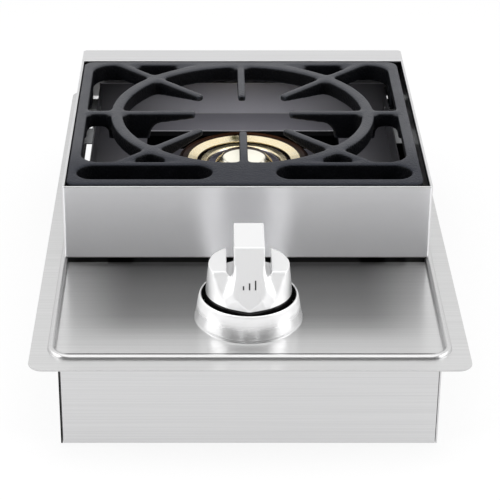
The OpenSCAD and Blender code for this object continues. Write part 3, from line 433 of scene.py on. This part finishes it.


# Painted light and shade on the liner: the rear wall, and the cut edges, bends and brackets with their
# greys; "half" is half the liner's width
linerTones = {
    "half": 0.129,
    "aside": [(0.0, 0.0), (0.35, 0.12), (0.62, 0.45), (0.85, 0.75), (1.0, 0.85)],
    "asideShade": (0.012, 0.012, 0.013, 1),
    "wall": {"Low": (-0.130, 0.1765, 0.0855), "High": (0.130, 0.1800, 0.1165)},
    "wallShade": (0.95, 0.94, 1.0, 1),
    "wallTop": 0.3,
    "wallBend": 0.55,
    "metallic": 0.25,
    "tones": (0.9, 1.1),
    "spread": 0.05,
    "bump": (0.05, 0.0002),
    "edgeBlur": 0.0002,
    "edgeCool": 1.04,
    # painted highlights on the rear wall's top, its bend and the mouth's rear edge; painted shade on the
    # mouth's lip and in the gaps beside the liner, over its brackets
    "edges": [
        ((-0.128, 0.1768, 0.1148), (0.128, 0.1790, 0.1160), 0.75),
        ((-0.085, 0.1768, 0.0840), (0.085, 0.1776, 0.0862), 0.55),
        ((-0.086, 0.1385, 0.0800), (0.086, 0.1406, 0.0848), 0.006),
        ((-0.084, 0.1388, 0.0849), (0.084, 0.1400, 0.0858), 0.60),
        ((-0.1450, -0.0900, 0.0800), (-0.1291, 0.1968, 0.1080), 0.004),
        ((0.1291, -0.0900, 0.0800), (0.1450, 0.1968, 0.1080), 0.004),
    ],
}


def darkSheet(name, shade, rough, stretch):
    # heat-greyed sheet, with painted shade towards the sides and in its gaps, and painted highlights along
    # its cut edges and its rear bend
    tones = linerTones
    material, tree, shader = newFinish(name)
    lines = placeGroup(tree, brushLines, Stretch=stretch)
    tint = addRamp(tree, lines["Lines"], twoTones(shade, *tones["tones"]))
    way = splitPlace(tree)
    # painted shade: darker towards the sides
    aside = addMath(tree, "MULTIPLY", addMath(tree, "ABSOLUTE", way["X"]), 1 / tones["half"])
    fade = addRamp(tree, aside, tones["aside"])
    tint = addMix(tree, fade, tint, tones["asideShade"])
    # painted light: the rear wall is lighter towards its bend
    wall = placeGroup(tree, boxRoom, **tones["wall"])["Inside"]
    drop = addRange(tree, way["Z"], tones["wall"]["High"][2], tones["wall"]["Low"][2])
    rise = addMath(tree, "MULTIPLY_ADD", drop, tones["wallBend"], tones["wallTop"])
    pale = addMath(tree, "MULTIPLY", wall, addMath(tree, "SUBTRACT", 1.0, fade))
    pale = addMath(tree, "MULTIPLY", pale, rise)
    tint = addMix(tree, pale, tint, tones["wallShade"])
    tint = paintRooms(tree, tint, tones["edges"], tones["edgeBlur"], tones["edgeCool"])
    tree.links.new(tint, shader["Base Color"])
    gloss = addMath(tree, "MULTIPLY_ADD", lines["Gloss"], 2 * tones["spread"], rough - tones["spread"])
    tree.links.new(gloss, shader["Roughness"])
    shader["Metallic"].default_value = tones["metallic"]
    addBump(tree, shader, lines["Lines"], *tones["bump"])
    return material


# Distances are in metres; the ramps run over the distance from the knob's axis, as a part of "reach"
knobTones = {
    "centre": (0, -0.1725, 0.08),
    "reach": 0.0407,
    "skin": {"Grain": 300.0, "Swell": 40.0},
    "level": {"Start": 0.75, "End": 0.98},
    "spread": 0.04,
    "bump": (0.01, 0.0001),
    "top": 0.8,
    "foot": 0.86,
    "footFrom": 0.938,
    "footTo": 0.956,
    "footMetallic": 0.95,
    "gap": [(0.0, 1.0), (0.866, 1.0), (0.872, 0.0)],
    "gapTop": 0.0955,
    "gapBlur": 0.0003,
    "gapShade": (0.006, 0.006, 0.006, 1),
    "skirt": [(0.0, 0.0), (0.74, 0.0), (0.78, 1.0), (0.866, 1.0), (0.87, 0.0)],
    "skirtSides": (0.0255, 0.0335),
    "skirtShade": (0.10, 0.10, 0.105, 1),
}


def knobFinish(name, shade, rough, metallic, coat):
    # satin chrome, with painted shade: dark in the gap round the knob, darker on the skirt's sides and
    # level faces, and a little darker in the colour of the bezel's brighter, more mirror-like foot
    tones = knobTones
    material, tree, shader = newFinish(name)
    skin = placeGroup(tree, castSkin, **tones["skin"])
    up = placeGroup(tree, faceUp, **tones["level"])["Up"]
    way = splitPlace(tree)
    radius = placeGroup(tree, axisRadius, Centre=tones["centre"])["Radius"]
    reach = addMath(tree, "MULTIPLY", radius, 1 / tones["reach"])
    # painted shade: level faces a little darker
    tint = addMix(tree, up, (*shade, 1), (*(c * tones["top"] for c in shade), 1))
    # painted shade: the bezel's foot a little darker in colour
    foot = addRamp(tree, reach, [(0.0, 0.0), (tones["footFrom"], 0.0), (tones["footTo"], 1.0)])
    tint = addMix(tree, foot, tint, (*(c * tones["foot"] for c in shade), 1))
    # painted shade: the skirt's sides darker
    aside = addRange(tree, addMath(tree, "ABSOLUTE", way["X"]), *tones["skirtSides"], curve="SMOOTHSTEP")
    upright = addMath(tree, "SUBTRACT", 1.0, up, clamp=True)
    skirt = addMath(tree, "MULTIPLY", addRamp(tree, reach, tones["skirt"]), upright)
    tint = addMix(tree, addMath(tree, "MULTIPLY", aside, skirt), tint, tones["skirtShade"])
    # painted shade: the gap round the knob's foot nearly black
    low = addRange(tree, way["Z"], tones["gapTop"] + tones["gapBlur"], tones["gapTop"])
    gap = addMath(tree, "MULTIPLY", low, addRamp(tree, reach, tones["gap"]))
    tree.links.new(addMix(tree, gap, tint, tones["gapShade"]), shader["Base Color"])
    mirror = addRamp(tree, reach, [(0.0, metallic), (tones["footFrom"], metallic),
                                   (tones["footTo"], tones["footMetallic"])])
    tree.links.new(mirror, shader["Metallic"])
    dull = addMath(tree, "MULTIPLY_ADD", skin["Mottle"], 2 * tones["spread"], rough - tones["spread"])
    tree.links.new(dull, shader["Roughness"])
    clear = addMath(tree, "MULTIPLY", addMath(tree, "SUBTRACT", 1.0, gap), coat)
    tree.links.new(clear, shader["Coat Weight"])
    addBump(tree, shader, skin["Height"], *tones["bump"])
    return material


plainLook = {"skin": {"Grain": 400.0, "Swell": 50.0}, "tones": (0.9, 1.08), "spread": 0.1, "depth": 0.0001}


def plainFinish(name, shade, rough, bump=0.05, coat=0.0):
    material, tree, shader = newFinish(name)
    skin = placeGroup(tree, castSkin, **plainLook["skin"])
    tint = addRamp(tree, skin["Mottle"], twoTones(shade, *plainLook["tones"]))
    tree.links.new(tint, shader["Base Color"])
    spread = plainLook["spread"]
    dull = addMath(tree, "MULTIPLY_ADD", skin["Mottle"], 2 * spread, rough - spread)
    tree.links.new(dull, shader["Roughness"])
    shader["Coat Weight"].default_value = coat
    addBump(tree, shader, skin["Height"], bump, plainLook["depth"])
    return material


# Tones painted at one place of the sheet metal, most as painted shade and one as painted light: low
# corner, high corner and grey
placeTones = {
    # painted shade: the inside of the raised box nearly black
    "insideBox": ((-0.1429, -0.0871, 0.07), (0.1429, 0.1966, 0.1385), 0.02),
    # painted shade: the inside of the lower body nearly black
    "insideBody": ((-0.1377, -0.2333, 0.0011), (0.1377, 0.2333, 0.0725), 0.005),
    # painted shade: the gas inlet's inner end, seen through the burner's mouth, darkened
    "inletEnd": ((0.075, 0.190, 0.020), (0.105, 0.2325, 0.060), 0.012),
    # painted light: the box's front wall paler than the rest of the box
    "frontWall": ((-0.144, -0.0885, 0.0785), (0.144, -0.0875, 0.1388), 0.94),
    # painted shade: the dark line behind the front bead, and the one down the lower body's left edge
    "beadLine": ((-0.1395, -0.2292, 0.0720), (0.1395, -0.2268, 0.0739), 0.10),
    "leftGapShade": ((-0.1395, -0.2345, -0.001), (-0.1374, -0.2330, 0.0718), 0.004),
}
# Painted shade on the panel: bright near the bead, half as bright from the knob back to the box
panelShade = {
    "front": -0.226,
    "back": -0.09,
    "side": 0.150,
    "middle": 0.085,
    "darkest": 0.30,
    "ramp": [(0.0, 0.0), (0.12, 0.1), (0.27, 0.55), (0.4, 0.78), (0.7, 0.86), (1.0, 1.0)],
}
alongX = (5, 1500, 1500)

finishes = {
    "pan_steel": brushedSteel("panSteel", (0.61, 0.61, 0.61), 0.30, 0.04, alongX, turned=0.85,
                              rooms=[placeTones["insideBox"], placeTones["beadLine"]], shaded=panelShade),
    "box_steel": brushedSteel("boxSteel", (0.665, 0.665, 0.67), 0.32, 0.04, alongX, turned=0.85,
                              rooms=[placeTones["frontWall"], placeTones["insideBox"]]),
    "body_steel": brushedSteel("bodySteel", (0.72, 0.72, 0.725), 0.34, 0.04, alongX, turned=0.8,
                               rooms=[placeTones["insideBody"], placeTones["leftGapShade"]]),
    "liner_steel": darkSheet("linerSteel", (0.27, 0.265, 0.30), 0.35, alongX),
    "zinc_steel": brushedSteel("zincSteel", (0.60, 0.61, 0.62), 0.38, 0.1, (300, 300, 300)),
    "spring_steel": brushedSteel("springSteel", (0.52, 0.52, 0.53), 0.3, 0.08, (500, 500, 500)),
    "grate_iron": castFinish("grateIron", (0.0018, 0.0021, 0.0032), (0.05, 0.056, 0.068), 0.47, 700.0,
                             1.0, gloss=0.12, dustAndLight=0.8),
    "burner_iron": castFinish("burnerIron", (0.05, 0.05, 0.055), (0.2, 0.2, 0.2), 0.6, 700.0, 0.4),
    "burner_brass": hotBrass("burnerBrass"),
    "tap_brass": brushedSteel("tapBrass", (0.72, 0.54, 0.25), 0.3, 0.08, (400, 400, 400),
                              rooms=[placeTones["inletEnd"]]),
    "pipe_aluminium": brushedSteel("pipeAluminium", (0.7, 0.7, 0.71), 0.35, 0.08, (40, 40, 900)),
    "knob_chrome": knobFinish("knobChrome", (0.91, 0.91, 0.915), 0.24, 0.3, 0.2),
    "mark_paint": plainFinish("markPaint", (0.02, 0.02, 0.022), 0.5),
    "ceramic": plainFinish("ceramic", (0.84, 0.83, 0.79), 0.2, coat=0.6),
    "wire_rubber": plainFinish("wireRubber", (0.03, 0.03, 0.03), 0.55),
    "module_plastic": plainFinish("modulePlastic", (0.035, 0.035, 0.04), 0.45, bump=0.15),
}
slotOf = {name: node.material_slots[0].material.name for name, node in nodes.items()}
for node in nodes.values():
    for place in node.material_slots:
        place.material = finishes[place.material.name]
print("materials made,", len(finishes))


# Piece making, in millimetres and degrees

making = {
    "merge": 0.002,
    "level": 0.6,
    "sharp": 40,
    "smooth": 32,
    "bendSteps": 4,
    "edgeSteps": 2,
    "sideways": 0.8,
    "soften": 0.5,
    "weight": 100,
}


def addPiece(name, bm, slot, node):
    # a piece that stands for a CAD node and rides on its body
    mesh = bpy.data.meshes.new(name)
    bm.to_mesh(mesh)
    bm.free()
    piece = bpy.data.objects.new(name, mesh)
    scene.collection.objects.link(piece)
    mesh.materials.append(finishes[slot])
    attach(piece, bodyOf[node])
    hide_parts(node)
    return piece


def smoothPiece(piece, angle=making["smooth"]):
    piece.data.shade_smooth()
    piece.data.set_sharp_from_angle(angle=math.radians(angle))
    weights = piece.modifiers.new("weights", "WEIGHTED_NORMAL")
    weights.keep_sharp = True
    weights.weight = making["weight"]
    return piece


def meshOf(mesh):
    bm = bmesh.new()
    bm.from_mesh(mesh)
    return bm


def closedSolid(node):
    # the CAD solid with its loose triangles joined
    bm = meshOf(nodes[node].data)
    bmesh.ops.remove_doubles(bm, verts=bm.verts, dist=making["merge"] * mm)
    return bm


def facedSolid(node):
    # and its triangles merged into flat faces
    bm = closedSolid(node)
    level = math.radians(making["level"])
    bmesh.ops.dissolve_limit(bm, angle_limit=level, verts=bm.verts, edges=bm.edges)
    return bm


def sharpEdges(bm, angle=making["sharp"]):
    return [e for e in bm.edges if len(e.link_faces) == 2 and e.calc_face_angle(0) > math.radians(angle)]


def roundEdges(bm, edges, radius, segments=making["edgeSteps"]):
    if edges:
        bmesh.ops.bevel(bm, geom=edges, offset=radius * mm, offset_type="OFFSET", affect="EDGES",
                        segments=segments, profile=0.5, material=-1, clamp_overlap=True)


def paintGrain(piece):
    # brushed along X, or along Y on faces that look sideways; the first coordinate runs across it
    mesh = piece.data
    layer = mesh.uv_layers.get("grain") or mesh.uv_layers.new(name="grain")
    for polygon in mesh.polygons:
        sideways = abs(polygon.normal.x) > making["sideways"]
        for loop in polygon.loop_indices:
            x, y, z = mesh.vertices[mesh.loops[loop].vertex_index].co
            layer.data[loop].uv = (z - x, y) if sideways else (y + z, x)


def edgeMiddle(e):
    return (e.verts[0].co + e.verts[1].co) / 2


def edgeWay(e):
    return (e.verts[1].co - e.verts[0].co).normalized()


def sheetPiece(name, node, edge, bends=()):
    # a folded sheet: each bend is a test on an edge's middle and direction, with its radius
    bm = facedSolid(node)
    for isBend, radius in bends:
        edges = [e for e in sharpEdges(bm) if isBend(edgeMiddle(e), edgeWay(e))]
        roundEdges(bm, edges, radius, making["bendSteps"])
    roundEdges(bm, sharpEdges(bm), edge)
    piece = addPiece(name, bm, slotOf[node], node)
    paintGrain(piece)
    return smoothPiece(piece)


def addRemesh(piece, voxel):
    remesh = piece.modifiers.new("voxels", "REMESH")
    remesh.mode = "VOXEL"
    remesh.voxel_size = voxel * mm
    remesh.use_smooth_shade = True


def addSoften(piece, rounds):
    soften = piece.modifiers.new("soften", "SMOOTH")
    soften.factor = making["soften"]
    soften.iterations = rounds


def applyModifiers(piece):
    ready = piece.evaluated_get(bpy.context.evaluated_depsgraph_get())
    mesh = bpy.data.meshes.new_from_object(ready)
    old = piece.data
    piece.modifiers.clear()
    piece.data = mesh
    bpy.data.meshes.remove(old)
    mesh.name = piece.name


# Pan, raised box and lower body

sheets = {
    "panEdge": 0.22,
    "boxCorner": 2.2,
    "boxRim": 0.9,
    "boxEdge": 0.2,
    "bodyEdge": 0.2,
    "touch": 0.01,
    "upright": 0.9,
    "level": 0.1,
}
bodySheets = {
    "lowerFront": "front_panel",
    "lowerRear": "rear_panel",
    "lowerLeft": "left_panel",
    "lowerRight": "right_panel",
    "lowerTray": "base_tray",
}


def makeBox():
    low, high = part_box("raised_box")
    touch = sheets["touch"] * mm

    def atCorner(p, d):
        besideX = min(abs(p.x - low.x), abs(p.x - high.x)) < touch
        besideY = min(abs(p.y - low.y), abs(p.y - high.y)) < touch
        return besideX and besideY and abs(d.z) > sheets["upright"]

    def atRim(p, d):
        return p.z > high.z - touch and abs(d.z) < sheets["level"]

    sheetPiece("boxShell", "raised_box", sheets["boxEdge"],
               [(atCorner, sheets["boxCorner"]), (atRim, sheets["boxRim"])])


def makeLowerBody():
    for name, node in bodySheets.items():
        sheetPiece(name, node, sheets["bodyEdge"])


sheetPiece("panSheet", "top_pan", sheets["panEdge"])
makeBox()
makeLowerBody()
print("sheet metal made")


# Liner, its brackets and the heat shield

liner = {"edge": 0.2, "tabCentre": (136.0, 81.5, 106.1), "tabSize": (13.6, 31.0, 1.0)}


def makeLiner():
    sheetPiece("linerTray", "burner_liner", liner["edge"])
    brackets = sheetPiece("linerBrackets", "liner_brackets", liner["edge"])
    bm = meshOf(brackets.data)
    for side in (-1, 1):
        # a plain tab between the liner and the box, halfway along
        made = bmesh.ops.create_cube(bm, size=1.0)["verts"]
        bmesh.ops.scale(bm, verts=made, vec=Vector(liner["tabSize"]) * mm)
        x, y, z = liner["tabCentre"]
        bmesh.ops.translate(bm, verts=made, vec=Vector((side * x, y, z)) * mm)
    bm.to_mesh(brackets.data)
    bm.free()
    paintGrain(brackets)
    sheetPiece("heatShield", "heat_shield", liner["edge"])


makeLiner()
print("liner made")


# Grate

grate = {"voxel": 1.1, "fillet": 4.0, "soften": 4}


def makeGrate():
    piece = addPiece("grateCasting", closedSolid("grate"), "grate_iron", "grate")
    # swelled and shrunk again, so that the inside corners fill with the pattern's fillets
    for grow in (1, -1):
        addRemesh(piece, grate["voxel"])
        swell = piece.modifiers.new("swell", "DISPLACE")
        swell.mid_level = 0.0
        swell.strength = grow * grate["fillet"] * mm
    addRemesh(piece, grate["voxel"])
    addSoften(piece, grate["soften"])
    applyModifiers(piece)


makeGrate()
print("grate cast")


# Burner head and cap

burner = {"sharp": 50, "edge": 0.12}


def makeBurner():
    for name, node in (("headCasting", "burner_head"), ("capCasting", "burner_cap")):
        bm = facedSolid(node)
        roundEdges(bm, sharpEdges(bm, burner["sharp"]), burner["edge"])
        smoothPiece(addPiece(name, bm, "burner_brass", node))


makeBurner()
print("burner made")


# Tap spring; the real one shortens as the knob is pushed in

spring = {"travel": 4.3, "smooth": 60}


def makeSpring():
    piece = addPiece("springCoil", facedSolid("return_spring"), "spring_steel", "return_spring")
    smoothPiece(piece, spring["smooth"])
    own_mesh(piece)


makeSpring()
print("spring made")


# Knob and bezel

knob = {
    "axis": (0, -0.1725, 0.088),
    "voxel": 0.55,
    "soften": 4,
    # the grip's front runs out into the cheeks: place in Y, half width and height above, then below
    "flare": [(-15.0, 10.8, 44.8, 11.6, 28.0), (-18.0, 10.8, 39.2, 13.6, 23.5),
              (-21.0, 10.8, 33.8, 16.2, 19.6), (-24.0, 10.8, 28.2, 18.4, 15.8),
              (-26.5, 10.8, 23.7, 18.6, 12.4), (-28.5, 10.7, 20.0, 16.0, 9.8),
              (-30.5, 9.8, 16.4, 12.0, 7.4), (-32.6, 6.0, 12.6, 7.0, 5.0), (-34.3, 1.4, 9.3, 1.5, 3.0)],
    "flareFoot": 2.0,
    # what is smoothed where the flare meets the cheeks, and how often
    "front": {"y": -14.6, "x": 8.0, "low": 7.5, "high": 38, "radius": 32.2},
    "frontRounds": 70,
}
bezel = {
    "foot": 0.073,
    "rings": 144,
    "smooth": 40,
    # radius and height over the foot, from the inner floor round the rim to the foot's edge
    "profile": [(35.0, 8.0), (35.0, 18.9), (35.25, 19.6), (35.9, 20.0), (36.6, 19.7), (37.1, 18.8),
                (37.6, 16.5), (38.1, 13.5), (38.6, 10.0), (39.1, 7.0), (39.6, 4.4), (40.0, 2.5),
                (40.3, 1.2), (40.7, 0.7), (40.7, 0.0)],
    # the CAD bezel is kept inside this radius, up to this height
    "floorRadius": 35.02,
    "floorHeight": 8,
}


def addFlare(bm, axis):
    foot = knob["flareFoot"]
    rings = []
    for y, top, high, side, low in knob["flare"]:
        outline = ((-top, high), (top, high), (side, low), (side, foot), (-side, foot), (-side, low))
        rings.append([bm.verts.new(axis + Vector((x, y, z)) * mm) for x, z in outline])
    bm.faces.new(rings[0])
    bm.faces.new(rings[-1][::-1])
    for first, second in zip(rings, rings[1:]):
        for i in range(len(first)):
            j = (i + 1) % len(first)
            bm.faces.new((first[i], second[i], second[j], first[j]))
    bmesh.ops.recalc_face_normals(bm, faces=bm.faces)


def makeKnob():
    axis = Vector(knob["axis"])
    bm = closedSolid("knob")
    addFlare(bm, axis)
    piece = addPiece("knobCasting", bm, "knob_chrome", "knob")
    addRemesh(piece, knob["voxel"])
    addSoften(piece, knob["soften"])
    applyModifiers(piece)
    bm = meshOf(piece.data)
    limit = knob["front"]
    front = []
    for v in bm.verts:
        x, y, z = (v.co - axis) / mm
        ahead = y < limit["y"] and abs(x) > limit["x"]
        if ahead and limit["low"] < z < limit["high"] and math.hypot(x, y) < limit["radius"]:
            front.append(v)
    for i in range(knob["frontRounds"]):
        bmesh.ops.smooth_vert(bm, verts=front, factor=making["soften"], use_axis_x=True, use_axis_y=True,
                              use_axis_z=True)
    bm.to_mesh(piece.data)
    bm.free()


def makeBezel():
    bm = bmesh.new()
    centre = Vector((0, knob["axis"][1], bezel["foot"]))
    line = [bm.verts.new(centre + Vector((r * mm, 0, z * mm))) for r, z in bezel["profile"]]
    edges = [bm.edges.new(pair) for pair in zip(line, line[1:])]
    bmesh.ops.spin(bm, geom=line + edges, cent=centre, axis=(0, 0, 1), angle=2 * math.pi,
                   steps=bezel["rings"], use_merge=True)
    bmesh.ops.remove_doubles(bm, verts=bm.verts, dist=making["merge"] * mm)
    # the CAD bezel's floor, posts and underside
    low = closedSolid("bezel")
    outer = []
    for face in low.faces:
        middle = face.calc_center_median()
        aside = (middle.xy - centre.xy).length > bezel["floorRadius"] * mm
        if aside or middle.z > centre.z + bezel["floorHeight"] * mm:
            outer.append(face)
    bmesh.ops.delete(low, geom=outer, context="FACES")
    floor = bpy.data.meshes.new("bezelFloor")
    low.to_mesh(floor)
    low.free()
    bm.from_mesh(floor)
    bpy.data.meshes.remove(floor)
    bmesh.ops.recalc_face_normals(bm, faces=bm.faces)
    smoothPiece(addPiece("bezelRing", bm, "knob_chrome", "bezel"), bezel["smooth"])


makeKnob()
makeBezel()
print("knob made")


# Floor, backdrop and lights

studio = {
    "floor": 3.0,
    "paper": (0.9, 0.9, 0.9, 1),
    "paperRough": 0.9,
    "paperGlow": 0.8,
    "white": (1, 1, 1, 1),
    "lamps": [
        ("overhead", (0.0, -0.1, 1.5), (0, 0, 0), (1.6, 1.6), 8),
        ("left", (-1.3, -0.5, 0.9), (0, -65, 0), (1.0, 1.0), 8),
        ("right", (1.3, -0.5, 0.9), (0, 65, 0), (1.0, 1.0), 8),
    ],
    "world": 0.78,
    # the dim part of the room that metal mirrors, and its edges in front, over the floor and overhead
    "dim": 0.04,
    "dimFront": (-0.1, -0.55),
    "dimFloor": (0.0, 0.2),
    "dimTop": (0.97, 0.75),
}


def makeFloor():
    bm = bmesh.new()
    bmesh.ops.create_grid(bm, x_segments=1, y_segments=1, size=studio["floor"])
    mesh = bpy.data.meshes.new("floor")
    bm.to_mesh(mesh)
    bm.free()
    floor = bpy.data.objects.new("floor", mesh)
    scene.collection.objects.link(floor)
    material, tree, shader = newFinish("paperWhite")
    shader["Base Color"].default_value = studio["paper"]
    shader["Roughness"].default_value = studio["paperRough"]
    glow = addNode(tree, "ShaderNodeEmission", {"Color": studio["white"], "Strength": 1.0})
    rays = addNode(tree, "ShaderNodeLightPath").outputs
    clear = addMath(tree, "MAXIMUM", rays["Is Glossy Ray"], rays["Is Transmission Ray"])
    seen = addMath(tree, "MAXIMUM", rays["Is Camera Ray"], clear)
    share = addMath(tree, "MULTIPLY", seen, studio["paperGlow"])
    paper = tree.nodes["Principled BSDF"].outputs[0]
    mixed = addNode(tree, "ShaderNodeMixShader", {0: share, 1: paper, 2: glow.outputs[0]})
    tree.links.new(mixed.outputs[0], tree.nodes["Material Output"].inputs["Surface"])
    mesh.materials.append(material)


def makeWorld():
    # white all round, except that mirroring metal meets a dim room in front, over the horizon
    world = bpy.data.worlds.new("studio")
    scene.world = world
    world.use_nodes = True
    tree = world.node_tree
    tree.nodes.clear()
    rays = addNode(tree, "ShaderNodeLightPath").outputs
    sky = addNode(tree, "ShaderNodeTexCoord").outputs["Generated"]
    way = addNode(tree, "ShaderNodeSeparateXYZ", {0: sky}).outputs
    ahead = addRange(tree, way["Y"], *studio["dimFront"], curve="SMOOTHSTEP")
    above = addRange(tree, way["Z"], *studio["dimFloor"], curve="SMOOTHSTEP")
    below = addRange(tree, way["Z"], *studio["dimTop"], curve="SMOOTHSTEP")
    dim = addMath(tree, "MULTIPLY", ahead, addMath(tree, "MULTIPLY", above, below))
    mirrored = addMath(tree, "MULTIPLY_ADD", dim, studio["dim"] - 1.0, 1.0)
    room, glossRoom, seenRoom = [
        addNode(tree, "ShaderNodeBackground", {"Color": studio["white"], "Strength": strength}).outputs[0]
        for strength in (studio["world"], mirrored, 1.0)]
    gloss = addNode(tree, "ShaderNodeMixShader", {0: rays["Is Glossy Ray"], 1: room, 2: glossRoom})
    clear = addMath(tree, "MAXIMUM", rays["Is Camera Ray"], rays["Is Transmission Ray"])
    mixed = addNode(tree, "ShaderNodeMixShader", {0: clear, 1: gloss.outputs[0], 2: seenRoom})
    out = addNode(tree, "ShaderNodeOutputWorld")
    tree.links.new(mixed.outputs[0], out.inputs["Surface"])


def makeLamps():
    for name, place, turn, size, power in studio["lamps"]:
        lamp = bpy.data.lights.new(name, "AREA")
        lamp.shape = "RECTANGLE"
        lamp.size, lamp.size_y = size
        lamp.energy = power
        holder = bpy.data.objects.new(name, lamp)
        holder.location = place
        holder.rotation_euler = [math.radians(a) for a in turn]
        scene.collection.objects.link(holder)


makeFloor()
makeWorld()
makeLamps()
print("studio ready")
